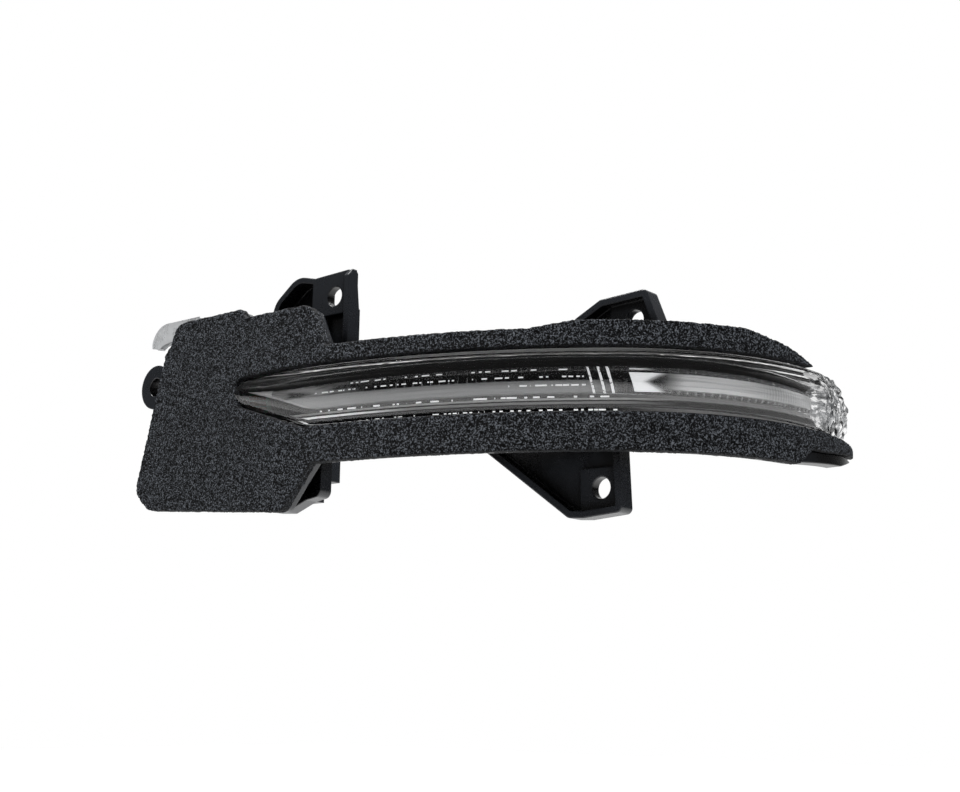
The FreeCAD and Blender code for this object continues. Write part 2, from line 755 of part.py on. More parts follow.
def saw_teeth(end):
    """One wedge across the back for every pitch, steep on the side away from the lights."""
    wedge = drawn(
        lambda past, out: Vector(BEND_X + past, flange_y - out, guide_bottom - 1),
        (0, -guide_back - 0.5),
        (TOOTH_PITCH * 0.75, -guide_back - 0.5),
        (TOOTH_PITCH * 0.75, -guide_back),
        (TOOTH_PITCH * 0.5, -guide_back + TOOTH_DEPTH),
        (0, -guide_back),
    ).extrude(Vector(0, 0, GUIDE_HEIGHT + 2))
    count = int((end - GUIDE_TIP) / TOOTH_PITCH)
    return [turned(wedge, GUIDE_TIP + TOOTH_PITCH * i) for i in range(count)]


PARTS = {
    "rear_housing": rear_housing,
    "outer_lens": outer_lens,
    "foam_gasket": foam_gasket,
    "light_guide": light_guide,
    "inner_bezel": bezel,
    "led_board": led_board,
    "amber_leds": lights,
    "driver_chip": driver_chip,
    "resistors": resistors,
    "capacitors": capacitors,
    "protection_diode": protection_diode,
    "terminal_pins": terminal_pins,
    "board_screws": board_screws,
}


def main():
    os.makedirs("parts", exist_ok=True)
    for name, make in PARTS.items():
        shape = make()
        solids = shape.Solids
        print(name, len(solids), "solids", "valid" if shape.isValid() else "INVALID", round(shape.Volume, 1))
        shape.exportStep(f"parts/{name}.step")


main()
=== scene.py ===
# %% [markdown]
# # A mirror turn signal light
# The lamp sits in the front of a door mirror. A black moulding starts flat at its inboard end, then wraps
# round to the side. A clear lens runs along it, a light guide lies behind the lens, and a die-cut foam
# gasket seals the edge against the mirror's shell. The solids come from the CAD frame. This script gives
# them their finishes, and remakes the pieces whose surface matters most: foam, lens, hook, bezel and guide.

import bmesh
import bpy
import numpy as np
from mathutils import Matrix


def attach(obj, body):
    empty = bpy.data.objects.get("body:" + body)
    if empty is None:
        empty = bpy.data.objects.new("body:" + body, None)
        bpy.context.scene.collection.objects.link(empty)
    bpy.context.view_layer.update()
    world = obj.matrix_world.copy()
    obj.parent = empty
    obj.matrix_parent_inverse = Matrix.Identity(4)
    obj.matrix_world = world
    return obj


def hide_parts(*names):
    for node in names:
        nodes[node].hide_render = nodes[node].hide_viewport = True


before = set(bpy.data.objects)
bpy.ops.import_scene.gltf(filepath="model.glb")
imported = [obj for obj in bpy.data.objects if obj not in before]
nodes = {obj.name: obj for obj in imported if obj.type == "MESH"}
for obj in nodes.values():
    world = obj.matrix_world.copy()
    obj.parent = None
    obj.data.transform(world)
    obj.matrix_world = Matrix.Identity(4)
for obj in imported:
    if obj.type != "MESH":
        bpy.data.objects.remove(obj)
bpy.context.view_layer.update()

# %% [markdown]
# ## The line that the lamp follows
# Everything along the window follows one line on the flange: straight across the flat pad, then a wide bend
# and a tighter one. A point is then three plain numbers: how far along, how far out of the flange, and how
# high. One function turns them into room coordinates, so each piece below is drawn as if the lamp were
# straight. The numbers are the same millimetres that the CAD source uses.

# %% The flange line
MM = 0.001
FLANGE_Y = -4.8
BEND_X = 56.2
FRONT_RADIUS = 153.0
FRONT_TURN = np.radians(36.0)
WRAP_RADIUS = 67.0
FRONT_LENGTH = FRONT_RADIUS * FRONT_TURN


def carry(along, out, height):
    """Room point, in metres, of (along, out, height) in millimetres.

    The heading is zero on the pad, then grows with the distance divided by the radius, first for the wide
    bend and then for the tight one. Each bend adds radius times (sine, one minus cosine) to the line, and
    the point stands out from the line along (sine, minus cosine) of the heading.
    """
    along, out, height = np.broadcast_arrays(*(np.asarray(v, float) for v in (along, out, height)))
    first = np.clip(along, 0, FRONT_LENGTH) / FRONT_RADIUS
    turn = first + np.clip(along - FRONT_LENGTH, 0, None) / WRAP_RADIUS
    x = BEND_X + np.minimum(along, 0) + FRONT_RADIUS * np.sin(first)
    x = x + WRAP_RADIUS * (np.sin(turn) - np.sin(first))
    y = FLANGE_Y + FRONT_RADIUS * (1 - np.cos(first)) + WRAP_RADIUS * (np.cos(first) - np.cos(turn))
    return np.stack([x + out * np.sin(turn), y - out * np.cos(turn), height], -1) * MM


print("the two bends start at", carry([0, FRONT_LENGTH], 0, 0).round(4).tolist())

# %% [markdown]
# ## Meshes from grids
# A swept piece is a closed loop of points repeated at many stations, so its mesh is a grid whose columns
# wrap round. The two end loops are filled with one polygon each. A mesh can carry a UV map in
# millimetres, so that a finish follows the piece: U is the distance along the lamp and V the height.


# %% Grid helpers
def tube_mesh(name, loops, run=None, smooth=True):
    """Closed mesh from loops[station, point, 3]: quads between stations, one polygon at each end.

    run[station, point, 2] is the UV map in millimetres, and smooth may be one answer for each station.
    """
    stations, points, _ = loops.shape
    ids = np.arange(stations * points).reshape(stations, points)
    ahead = np.roll(ids, -1, axis=1)
    quads = np.stack([ids[:-1], ahead[:-1], ahead[1:], ids[1:]], -1).reshape(-1, 4)
    faces = quads.tolist() + [ids[0, ::-1].tolist(), ids[-1].tolist()]
    flags = np.repeat(np.broadcast_to(smooth, stations)[:-1], points)
    flags = np.append(flags, [False, False])
    uv = None if run is None else run.reshape(-1, 2)
    return poly_mesh(name, loops.reshape(-1, 3), faces, uv, flags)


def poly_mesh(name, verts, faces, uv=None, smooth=True):
    """Mesh object with faces turned outwards, by the sign of the enclosed volume."""
    corners = [(f[0], f[i], f[i + 1]) for f in faces for i in range(1, len(f) - 1)]
    a, b, c = (verts[np.array(corners)[:, i]] for i in range(3))
    if np.einsum("ij,ij->i", a, np.cross(b, c)).sum() < 0:
        faces = [f[::-1] for f in faces]
    mesh = bpy.data.meshes.new(name)
    mesh.from_pydata(verts.tolist(), [], faces)
    if uv is not None:
        layer = mesh.uv_layers.new(name="run")
        index = np.empty(len(mesh.loops), int)
        mesh.loops.foreach_get("vertex_index", index)
        layer.data.foreach_set("uv", uv[index].reshape(-1))
    mesh.polygons.foreach_set("use_smooth", np.broadcast_to(smooth, len(mesh.polygons)).copy())
    mesh.update()
    piece = bpy.data.objects.new(name, mesh)
    bpy.context.scene.collection.objects.link(piece)
    return piece


print("grid helpers ready")

# %% [markdown]
# ## Shader arithmetic
# A finish is a small sum: a colour here, a little more roughness there. Writing such sums as Python
# expressions keeps them readable. One class wraps a socket, and each operator adds a Math node. A second one
# holds a node tree, and a third is a material with its main shader.


# %% Shader helpers
class Value:
    """A socket that can be added to, multiplied and so on; each operator adds a Math node."""

    def __init__(self, finish, socket):
        self.finish = finish
        self.socket = socket

    def math(self, operation, other=0.0, swap=False):
        pair = (other, self) if swap else (self, other)
        return self.finish.node("ShaderNodeMath", {"operation": operation}, {0: pair[0], 1: pair[1]})

    def __add__(self, other):
        return self.math("ADD", other)

    def __sub__(self, other):
        return self.math("SUBTRACT", other)

    def __rsub__(self, other):
        return self.math("SUBTRACT", other, swap=True)

    def __mul__(self, other):
        return self.math("MULTIPLY", other)

    def __gt__(self, other):
        return self.math("GREATER_THAN", other)

    def __lt__(self, other):
        return self.math("LESS_THAN", other)

    __radd__ = __add__
    __rmul__ = __mul__

    def capped(self):
        return self.math("MINIMUM", 1.0)

    def near(self, level, reach):
        """One within reach of a level, and nothing elsewhere."""
        return (self - level).math("ABSOLUTE") < reach

    def between(self, low, high):
        """One between two levels, and nothing elsewhere."""
        return (self > low) * (self < high)


class Graph:
    """A node tree, of a material or of the world, with methods that add nodes to it."""

    def __init__(self, tree):
        self.tree = tree

    def set(self, node, inputs):
        for key, value in inputs.items():
            if isinstance(value, Value):
                self.tree.links.new(value.socket, node.inputs[key])
            else:
                node.inputs[key].default_value = value

    def node(self, kind, settings=None, inputs=None, output=0):
        made = self.tree.nodes.new(kind)
        for key, value in (settings or {}).items():
            setattr(made, key, value)
        self.set(made, inputs or {})
        return Value(self, made.outputs[output])

    def part(self, vector, axis):
        return self.node("ShaderNodeSeparateXYZ", {}, {0: vector}, output=axis)

    def pair(self, one, other):
        return self.node("ShaderNodeCombineXYZ", {}, {0: one, 1: other})

    def ray(self, kind):
        return self.node("ShaderNodeLightPath", output=kind)

    def place(self):
        return self.node("ShaderNodeTexCoord", output="Object")

    def run(self):
        """Distance along the lamp and height, in millimetres, from the UV map."""
        uv = self.node("ShaderNodeUVMap", {"uv_map": "run"})
        return self.part(uv, "X"), self.part(uv, "Y")

    def noise(self, scale, detail=2.0, vector=None, rough=0.5):
        return self.node(
            "ShaderNodeTexNoise",
            {},
            {"Vector": vector or self.place(), "Scale": scale, "Detail": detail, "Roughness": rough},
        )

    def wave(self, value, period):
        """Sine of a distance, with the given period."""
        return (value * (2 * np.pi / period)).math("SINE")

    def rise(self, value, low, high):
        """Smooth step: nothing below low, one above high."""
        inputs = {"Value": value, "From Min": low, "From Max": high}
        return self.node("ShaderNodeMapRange", {"interpolation_type": "SMOOTHSTEP"}, inputs)

    def fall(self, value, low, high):
        """Smooth step down: one below low, nothing above high."""
        return 1 - self.rise(value, low, high)

    def ramp(self, value, low, high):
        """Straight step: nothing below low, one above high."""
        return self.node("ShaderNodeMapRange", {}, {"Value": value, "From Min": low, "From Max": high})

    def mix(self, factor, one, other):
        return self.node(
            "ShaderNodeMix",
            {"data_type": "RGBA"},
            {0: factor, 6: one if isinstance(one, Value) else (*one, 1.0), 7: (*other, 1.0)},
            output=2,
        )


class Finish(Graph):
    """One material with a Principled shader."""

    def __init__(self, name, colour, roughness, **constants):
        self.material = bpy.data.materials.new(name)
        self.material.use_nodes = True
        super().__init__(self.material.node_tree)
        self.shader = self.tree.nodes["Principled BSDF"]
        self.set(self.shader, {"Base Color": (*colour, 1.0), "Roughness": roughness, **constants})

    def feed(self, **inputs):
        self.set(self.shader, {key.replace("_", " "): value for key, value in inputs.items()})

    def bump(self, height, strength, distance, normal=None):
        inputs = {"Height": height, "Strength": strength, "Distance": distance}
        if normal is not None:
            inputs["Normal"] = normal
        self.feed(Normal=self.node("ShaderNodeBump", {}, inputs))

    def blend(self, factor, other):
        """Ends the material in a mix of its own shader and another one."""
        own = Value(self, self.shader.outputs[0])
        mixed = self.node("ShaderNodeMixShader", {}, {0: factor, 1: own, 2: other})
        self.set(self.tree.nodes["Material Output"], {0: mixed})

    def on(self, *pieces):
        for piece in pieces:
            piece.data.materials.clear()
            piece.data.materials.append(self.material)


def join(piece, slot, *replaced):
    """A finished new piece: it rides on the lamp and stands for CAD nodes. The slot argument is not used."""
    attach(piece, "root")
    if replaced:
        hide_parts(*replaced)
    print(piece.name, len(piece.data.vertices), "points,", len(piece.data.polygons), "faces")


print("shader helpers ready")

# %% [markdown]
# ## Black moulded housing
# The housing is one injection moulding in black plastic. It has a satin skin: broad soft highlights, a
# faint grain from the tool, and slightly glossier patches. The CAD solid has the right shape, so it only
# gets a finish. Noise at two scales drives roughness and a very shallow bump. The base colour holds painted
# light: open faces get a painted sheen and recesses stay darker as painted shade, which ambient occlusion
# tells apart, so that the forms read in black. The painted sheen fades out at the outboard lip, so the lip
# stays dark. A bevel in the shading eases the sharp edges.

# %% Housing finish
SHADED_RECESS_BLACK = (0.001, 0.001, 0.0015)
SHEEN_BLACK = (0.017, 0.019, 0.023)
RECESS_REACH = 8 * MM
EDGE_EASE = 0.6 * MM
GRAIN_DEPTH = 0.1 * MM
LIP_FADE = (60 * MM, 80 * MM)
SHADE_SAMPLES = {"samples": 8}
housing_black = Finish("housing_black", (0.006, 0.006, 0.0065), 0.3, **{"Specular IOR Level": 0.5})
polish = housing_black.noise(60.0, 3.0)
grain = housing_black.noise(2600.0, 2.0)
housing_black.feed(Roughness=polish * 0.14 + grain * 0.06 + 0.17)
# Painted sheen and painted shade: ambient occlusion lightens the base colour on open faces and leaves
# recesses at the darker black.
open_face = housing_black.node(
    "ShaderNodeAmbientOcclusion",
    {**SHADE_SAMPLES, "only_local": True},
    {"Distance": RECESS_REACH},
    output="AO",
)
outboard = housing_black.part(housing_black.place(), "Y")
painted_sheen = housing_black.rise(open_face, 0.72, 0.98) * (polish * 0.6 + 0.7)
# The painted sheen fades out towards the outboard lip, which stays dark.
painted_sheen = painted_sheen * housing_black.fall(outboard, *LIP_FADE)
housing_black.feed(Base_Color=housing_black.mix(painted_sheen, SHADED_RECESS_BLACK, SHEEN_BLACK))
eased = housing_black.node("ShaderNodeBevel", SHADE_SAMPLES, {"Radius": EDGE_EASE})
housing_black.bump(grain, 0.1, GRAIN_DEPTH, eased)
housing_black.on(nodes["rear_housing"])
print("housing finished")

# %% [markdown]
# ## Foam gasket
# The gasket is cut from a sheet of closed-cell foam with a crepe skin: worm-like grains about a
# millimetre wide, and edges left a little ragged by the die. A flat solid would look like card, so the CAD
# solid is copied, remeshed into even cells, and each point is pushed along its normal by a worm-like noise.
# The noise is worked out here for all points at once. The finish makes small light specks of random tone,
# with a painted glint added on the raised grains. On the walls that look up or down the specks fade, which
# is painted shade.

# %% Foam relief
HASH_PRIMES = np.array([73856093, 19349663, 83492791])
HASH_SEED = 2654435761
HASH_SCRAMBLE = 1274126177
DRIFT_CELL = 1.9 * MM
DRIFT_REACH = 1.1 * MM
WORM_CELL = 1.05 * MM
THIN_WORM_CELL = 0.8 * MM
FINE_CELL = 0.5 * MM


def lattice_noise(points, cell, seed):
    """Smooth value noise: random numbers on a lattice of the given cell, blended by a smooth step."""
    grid = points / cell
    base = np.floor(grid).astype(np.int64)
    part = grid - base
    ease = part * part * (3 - 2 * part)
    total = np.zeros(len(points))
    for corner in np.ndindex(2, 2, 2):
        key = base + np.array(corner)
        mixed = (key * HASH_PRIMES).sum(1) ^ (seed * HASH_SEED)
        mixed = (mixed ^ (mixed >> 13)) * HASH_SCRAMBLE
        value = ((mixed ^ (mixed >> 16)) & 0xFFFF) / 65535.0
        weight = np.where(np.array(corner), ease, 1 - ease).prod(1)
        total += weight * value
    return total


def crepe(points):
    """Worm-like relief, about -1 to 1: ridges where a noise crosses its middle, broken by a finer one."""
    drift = np.stack([lattice_noise(points, DRIFT_CELL, seed) - 0.5 for seed in (5, 6, 7)], 1)
    bent = points + drift * DRIFT_REACH
    worm = 1 - np.abs(2 * lattice_noise(bent, WORM_CELL, 1) - 1) * 2.2
    thin_worm = 1 - np.abs(2 * lattice_noise(bent, THIN_WORM_CELL, 2) - 1) * 2.4
    fine = lattice_noise(points, FINE_CELL, 3) - 0.5
    return np.clip(0.6 * worm + 0.4 * thin_worm, -1, 1) + 0.35 * fine


print("foam relief ready")

# %% Foam piece
FOAM_CELL = 0.39 * MM
FOAM_RELIEF = 0.2 * MM
FOAM_SINK = 0.12 * MM
SAME_POINT = 2e-6
foam_data = nodes["foam_gasket"].data.copy()
merged = bmesh.new()
merged.from_mesh(foam_data)
bmesh.ops.remove_doubles(merged, verts=merged.verts, dist=SAME_POINT)
merged.to_mesh(foam_data)
merged.free()
foam = bpy.data.objects.new("foam_pad", foam_data)
bpy.context.scene.collection.objects.link(foam)
cells = foam.modifiers.new("cells", "REMESH")
cells.mode = "VOXEL"
cells.voxel_size = FOAM_CELL
cells.use_smooth_shade = True
foam_data = bpy.data.meshes.new_from_object(foam.evaluated_get(bpy.context.evaluated_depsgraph_get()))
foam.modifiers.clear()
foam.data = foam_data
spots = np.empty(len(foam_data.vertices) * 3)
foam_data.vertices.foreach_get("co", spots)
spots = spots.reshape(-1, 3)
normals = np.empty(len(foam_data.vertices) * 3)
foam_data.vertex_normals.foreach_get("vector", normals)
normals = normals.reshape(-1, 3)
relief = crepe(spots)
moved = spots + normals * (relief * FOAM_RELIEF - FOAM_SINK)[:, None]
foam_data.vertices.foreach_set("co", moved.reshape(-1))
# How far each point faces up or down; the finish puts painted shade on such walls.
steepness = np.clip((np.abs(normals[:, 2]) - 0.35) / 0.4, 0, 1)
for label, values in (("relief", relief), ("wall", steepness)):
    foam_data.attributes.new(label, "FLOAT", "POINT").data.foreach_set("value", values)
foam_data.polygons.foreach_set("use_smooth", np.ones(len(foam_data.polygons), bool))
foam_data.update()
print("foam:", len(spots), "points, relief", relief.min().round(2), relief.max().round(2))

# %% Foam finish
FOAM_PIT = (0.001, 0.001, 0.0013)
FOAM_SPECK = (0.127, 0.138, 0.156)
foam_black = Finish("foam_black", (0.02, 0.02, 0.021), 0.7, **{"Specular IOR Level": 0.12})
grains = foam_black.node("ShaderNodeAttribute", {"attribute_name": "relief"}, output="Fac")
wall = foam_black.node("ShaderNodeAttribute", {"attribute_name": "wall"}, output="Fac")
speck = foam_black.noise(2700.0, 1.0) * 0.6 + foam_black.noise(1500.0, 2.0, rough=0.6) * 0.4
# Painted light: the specks are random tone, raised grains add a painted glint, and walls facing up or down
# get painted shade.
glint = ((speck - 0.495) * 7.0 + grains * 0.15).math("MAXIMUM", 0.0) * (1 - wall * 0.8)
foam_black.feed(Base_Color=foam_black.mix(glint, FOAM_PIT, FOAM_SPECK))
foam_black.feed(Roughness=speck * 0.3 + 0.5)
foam_black.bump(speck, 0.8, 0.6 * MM)
foam_black.on(foam)
join(foam, "foam_black", "foam_gasket")

# %% [markdown]
# ## Window outline
# The window keeps one height along the lamp, but its inboard end is a blade: the top edge stays nearly level
# while the bottom edge rises to a point. The lens takes its edges from these two curves. The bezel keeps to
# the level heights.

# %% Window edges
WINDOW_Z = -12.4
WINDOW_HEIGHT = 16.0
WINDOW_TOP = WINDOW_Z + WINDOW_HEIGHT / 2
WINDOW_BOTTOM = WINDOW_Z - WINDOW_HEIGHT / 2
TIP = -12.0
BLADE = 26.5
TIP_ROUND = 2.4
TIP_OFFSET = 1.2
TIP_LIFT = 0.6
TOP_DIP = 0.6
TOP_DIP_LENGTH = BLADE - 2
BLADE_OVER = 0.3
BEND_EASE = 0.9
NARROWEST = 0.0004


def edges(along):
    """Bottom and top height of the window at a distance along the flange.

    The bottom follows the higher of the level edge and a falling straight line, eased where they meet. Both
    close up to a round end at the tip.
    """
    past = np.maximum(np.asarray(along, float) - TIP, 0)
    drop = WINDOW_HEIGHT / 2 + BLADE_OVER
    line = WINDOW_Z - (past - TIP_OFFSET) * drop / (BLADE - TIP_OFFSET)
    bottom = BEND_EASE * np.logaddexp(line / BEND_EASE, WINDOW_BOTTOM / BEND_EASE)
    top = WINDOW_TOP - TOP_DIP * np.clip(1 - past / TOP_DIP_LENGTH, 0, 1)
    close = np.sqrt(np.clip(1 - np.clip(1 - past / TIP_ROUND, 0, 1) ** 2, NARROWEST, 1))
    middle = (top + bottom) / 2 + TIP_LIFT
    return middle + (bottom - middle) * close, middle + (top - middle) * close


print("window edges at the tip and beyond:", [np.round(e, 2).tolist() for e in edges([TIP, -5, 10, 40])])

# %% [markdown]
# ## Clear lens
# The lens is a two-millimetre clear shell with a low crown, and past the end of the dark bezel it runs on
# as a solid clear nose with a slanted end. It is one closed loop of points per station. The front half of
# the loop is the crown, and the back half is the inside of the shell, which drops to the nose's flat back
# where the nose becomes solid. That sudden drop is the shell's inner end wall. The nose is moulded with
# crossed ridges, which break the light into small bright facets, so its faces stay flat. A noise paints
# shade into the colour of parts of it, for the dark facets of its folds. Light on its way to a lamp passes
# the lens straight through.

# %% Lens piece
CAVITY_END = 166.0
NOSE_END = 176.0
NOSE_LEAN = np.tan(np.radians(25.0))
CROWN_SIDE = 1.4
CROWN = 3.8
LENS_WALL = 2.0
SKIRT_DEPTH = 6.0
RIDGES_START = 160.0
RIDGES_FADE = 8.0
RIDGE_DEPTH = 0.6
RIDGE_PITCHES = ((4.4, 6.3), (6.1, -5.2))
END_RIDGE = 0.9
END_PITCH = 2.6
LENS_SEAT = 1.5
TIP_ZONE = 16.0


def ridges(value):
    """Zigzag from -1 to 1 with a period of one."""
    return 4 * np.abs((value + 0.25) % 1 - 0.5) - 1


def lens_loops():
    """Loops of the lens: crown from bottom to top, then the inner side from top to bottom."""
    across = (1 - np.cos(np.linspace(0, np.pi, 33))) / 2
    run = np.concatenate([
        TIP + TIP_ZONE * np.linspace(0.0, 1, 44) ** 2,
        np.linspace(TIP + TIP_ZONE + 0.7, RIDGES_START, 200),
        np.linspace(RIDGES_START + 0.5, CAVITY_END, 12),
        [CAVITY_END + 0.02],
        np.linspace(CAVITY_END + 0.5, NOSE_END, 20),
    ])
    low, high = edges(run)
    wide = np.clip((high - low) / WINDOW_HEIGHT, 0, 1)[:, None]
    z = low[:, None] + (high - low)[:, None] * across
    rise = CROWN_SIDE + (CROWN - CROWN_SIDE) * (1 - (2 * across - 1) ** 2)
    front_out = -LENS_SEAT + (rise + LENS_SEAT) * np.minimum(1, wide * 3) ** 0.5
    front_out[:, 0] = front_out[:, -1] = -LENS_WALL
    wall = LENS_WALL / WINDOW_HEIGHT
    inner_z = low[:, None] + (high - low)[:, None] * (wall + (1 - 2 * wall) * across[::-1])
    inner_out = front_out[:, ::-1] - LENS_WALL
    inner_out[:, 0] = inner_out[:, -1] = -LENS_WALL
    ridged = np.clip((run - RIDGES_START) / RIDGES_FADE, 0, 1)[:, None]
    cut = sum(ridges(z / tall + run[:, None] / long) for tall, long in RIDGE_PITCHES)
    front_out[:, 1:-1] -= (ridged * RIDGE_DEPTH * (1 + cut / 2))[:, 1:-1]
    solid = run > CAVITY_END
    inner_z[solid] = z[solid][:, ::-1]
    inner_out[solid] = -SKIRT_DEPTH
    out = np.concatenate([front_out, inner_out], 1)
    height = np.concatenate([z, inner_z], 1)
    lean = np.clip((run - CAVITY_END) / (NOSE_END - CAVITY_END), 0, 1)[:, None]
    notched = END_RIDGE * (1 + ridges(height / END_PITCH))
    along = run[:, None] + lean * ((WINDOW_Z - height) * NOSE_LEAN - notched)
    return carry(along, out, height), np.stack([along, height], -1), run <= RIDGES_START


lens_points, lens_uv, lens_smooth = lens_loops()
lens = tube_mesh("clear_lens", lens_points, lens_uv, lens_smooth)
print("lens stations", len(lens_points))

# %% Lens finish
WHITE = (1.0, 1.0, 1.0)
NOSE_SHADE = (0.12, 0.125, 0.13)
CLEAR = {"Transmission Weight": 1.0, "IOR": 1.49}
lens_clear = Finish("lens_clear", WHITE, 0.01, **CLEAR)
lens_clear.bump(lens_clear.noise(220.0, 2.0), 0.06, 0.5 * MM)
along, height = lens_clear.run()
# Painted shade: a noise darkens the base colour of the ridged nose in patches.
shaded = ((lens_clear.noise(560.0, 3.0) - 0.5) * 14.0 + 0.45) * (along > RIDGES_START)
lens_clear.feed(Base_Color=lens_clear.mix(shaded.math("MAXIMUM", 0.0), WHITE, NOSE_SHADE))
lens_clear.blend(lens_clear.ray("Is Shadow Ray"), lens_clear.node("ShaderNodeBsdfTransparent"))
lens_clear.on(lens)
join(lens, "lens_clear", "outer_lens")

# %% [markdown]
# ## Clear hook
# A tongue of the same clear moulding curls round the pad's upper corner. It is a flat plate with eased
# edges, so its outline is repeated at four depths, drawn in a little at the outer two. Its faces look
# frosted rather than polished.

# %% Hook piece
HOOK_TIP = 3.7
HOOK_TOP = 16.6
HOOK_ROOT = 24.0
HOOK_LOW = 4.75
HOOK_THICK = 2.0
HOOK_EASE = 0.4
CURL_WIDE = 6.3
CURL_TALL = 6.0
NOTCH_CENTRE = (13.7, 9.6)
NOTCH_WIDE = 7.0
NOTCH_TALL = 2.0
STEM_WIDE = 4.0


def hook_loops():
    """Outline of the hook at four depths; the outer two are moved in along the outline's normals."""
    bend = np.radians(np.linspace(90, 180, 14))
    curl_x = HOOK_TIP + CURL_WIDE + CURL_WIDE * np.cos(bend)
    curl = np.stack([curl_x, HOOK_TOP - CURL_TALL + CURL_TALL * np.sin(bend)], -1)
    under = np.radians(np.linspace(170, 90, 8))
    inner = NOTCH_CENTRE + np.stack([NOTCH_WIDE * np.cos(under), NOTCH_TALL * np.sin(under)], -1)
    ends = np.array([[HOOK_ROOT - STEM_WIDE, HOOK_LOW], [HOOK_ROOT, HOOK_LOW], [HOOK_ROOT, HOOK_TOP]])
    outline = np.concatenate([curl, inner, ends])
    side = np.roll(outline, -1, 0) - np.roll(outline, 1, 0)
    normal = np.stack([side[:, 1], -side[:, 0]], -1) / np.linalg.norm(side, axis=1)[:, None]
    depth = np.array([0, HOOK_EASE, HOOK_THICK - HOOK_EASE, HOOK_THICK])
    inset = np.array([HOOK_EASE, 0, 0, HOOK_EASE])
    flat = outline + normal * inset[:, None, None]
    y = np.broadcast_to((FLANGE_Y + depth)[:, None], flat.shape[:2])
    return np.stack([flat[..., 0], y, flat[..., 1]], -1) * MM


hook = tube_mesh("clear_hook", hook_loops(), smooth=False)
hook_frost = Finish("lens_frosted", (0.86, 0.87, 0.88), 0.3, **{"Transmission Weight": 0.4, "IOR": 1.49})
mist = hook_frost.noise(300.0, 3.0)
hook_frost.feed(Roughness=mist * 0.4 + 0.1)
hook_frost.feed(Base_Color=hook_frost.mix(mist, (0.45, 0.46, 0.47), (0.8, 0.81, 0.82)))
hook_frost.on(hook)
join(hook, "lens_clear")

# %% [markdown]
# ## Dark bezel
# Round the light guide lies a glossy black trim. Its sloped shoulders carry fine steps along the lamp,
# and long thin lines on them are painted highlights in the base colour. Two rows of small prisms on the
# lower shoulder get painted highlights as broken white dashes, and near the inboard end one step gets a
# painted highlight. The dashes and that step also get a painted glow, emission in a trim that is no lamp.
# The section below steps down from the lens to the guide's groove.

# %% Bezel piece
GUIDE_Z = -11.2
GUIDE_HEIGHT = 7.6
GUIDE_SETBACK = 4.2
GUIDE_THICK = 6.0
GROOVE_GAP = 0.3
BEZEL_GAP = 0.3
BEZEL_START = -9.8
BEZEL_TOP_STEP = -2.6
BEZEL_DROP = 2.8
GROOVE_OUT = -10.4
BEZEL_BACK = -13.4
BACK_MARK = 100


def bezel_loops():
    """Trim section with stepped shoulders, carried along the window; the back's V is moved far down."""
    run = np.concatenate([np.linspace(BEZEL_START, 20, 54), np.linspace(21, CAVITY_END - 0.25, 200)])
    groove_low = GUIDE_Z - GUIDE_HEIGHT / 2 - GROOVE_GAP
    groove_high = GUIDE_Z + GUIDE_HEIGHT / 2 + GROOVE_GAP
    lowest = WINDOW_BOTTOM + BEZEL_GAP
    highest = WINDOW_TOP - BEZEL_GAP
    steps = np.linspace(0, 1, 7)
    treads = np.repeat(steps, 2)[1:-1]
    risers = np.repeat((steps[:-1] + steps[1:]) / 2, 2)
    drop = BEZEL_TOP_STEP - BEZEL_DROP * risers
    bottom = lowest + (groove_low - lowest) * treads
    top = highest + (groove_high - highest) * treads
    out = np.concatenate([drop, [GROOVE_OUT] * 2, drop[::-1], [BEZEL_BACK] * 2])
    height = np.concatenate([bottom, [groove_low, groove_high], top[::-1], [highest, lowest]])
    along, height = np.broadcast_arrays(run[:, None], height[None, :])
    mark = height - BACK_MARK * (out == out.min())
    return carry(along, out[None, :], height), np.stack([along, mark], -1)


bezel_points, bezel_uv = bezel_loops()
bezel = tube_mesh("dark_bezel", bezel_points, bezel_uv, smooth=False)

# %% Bezel finish
DASH_REACH = 0.2
BLACK = (0.0, 0.0, 0.0)
BEZEL_BLACK = (0.002, 0.002, 0.0022)
BEZEL_ROWS = ((-15.8, 14, 96, 1.6), (-18.75, 20, 98, 1.3))


def dashes(finish, along, height, rows):
    """One where broken rows of dashes lie; each row has a height, a start, an end and a length of dash."""
    total = 0.0
    for level, start, end, length in rows:
        broken = finish.noise(1.0, 1.0, vector=finish.pair(along * (1 / length), level * 7.3)) > 0.52
        total = broken * height.near(level, DASH_REACH) * along.between(start, end) + total
    return total


bezel_black = Finish("bezel_black", BEZEL_BLACK, 0.12, **{"Specular IOR Level": 0.1})
bezel_black.feed(Roughness=bezel_black.noise(140.0, 2.0) * 0.14 + 0.06)
along, height = bezel_black.run()
# Painted highlights: a shining step near the inboard end, broken dashes on two prism rows and thin lines
# along the steps, white in the base colour.
shine = bezel_black.rise(along, 5.0, 12.0) * bezel_black.fall(along, 20.0, 46.0) * 0.8
spark = dashes(bezel_black, along, height, BEZEL_ROWS) + height.between(-17.65, -17.2) * shine
spark = spark.capped()
rim_highlights = height.between(-16.7, -16.2) * 0.5 + height.between(-17.7, -17.1) * 0.35
rim_highlights = rim_highlights + height.between(-5.5, -5.2) * 0.3
far_rim_highlights = height.between(-16.4, -15.1) * 0.22 + height.between(-18.9, -18.2) * 0.3
beyond = bezel_black.rise(along, 92.0, 118.0)
lit = (spark + rim_highlights * (1 - beyond) + beyond * far_rim_highlights).capped()
bezel_black.feed(Base_Color=bezel_black.mix(lit, BEZEL_BLACK, WHITE))
